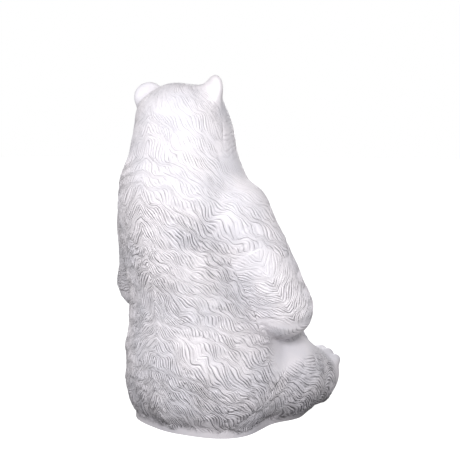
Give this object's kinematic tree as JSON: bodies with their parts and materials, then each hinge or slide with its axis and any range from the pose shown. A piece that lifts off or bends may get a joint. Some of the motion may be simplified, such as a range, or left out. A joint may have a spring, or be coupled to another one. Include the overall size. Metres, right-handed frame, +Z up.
{
  "type": "polar bear statue",
  "caption": "Life-size seated polar bear in white resin, cast in one piece, with carved fur, paws resting on its hind legs and a flat underside.",
  "frame": {"origin": "centre of the bounding box's base, on the flat underside", "axes": "+Z up, -Y is the way the bear faces, its right side is towards -X"},
  "size_m": [1.046, 0.9952, 1.5],
  "materials": {
    "white_resin": "white painted resin with carved fur, satin to matt"
  },
  "bodies": {
    "root": {"bear": "white_resin"}
  },
  "joints": []
}
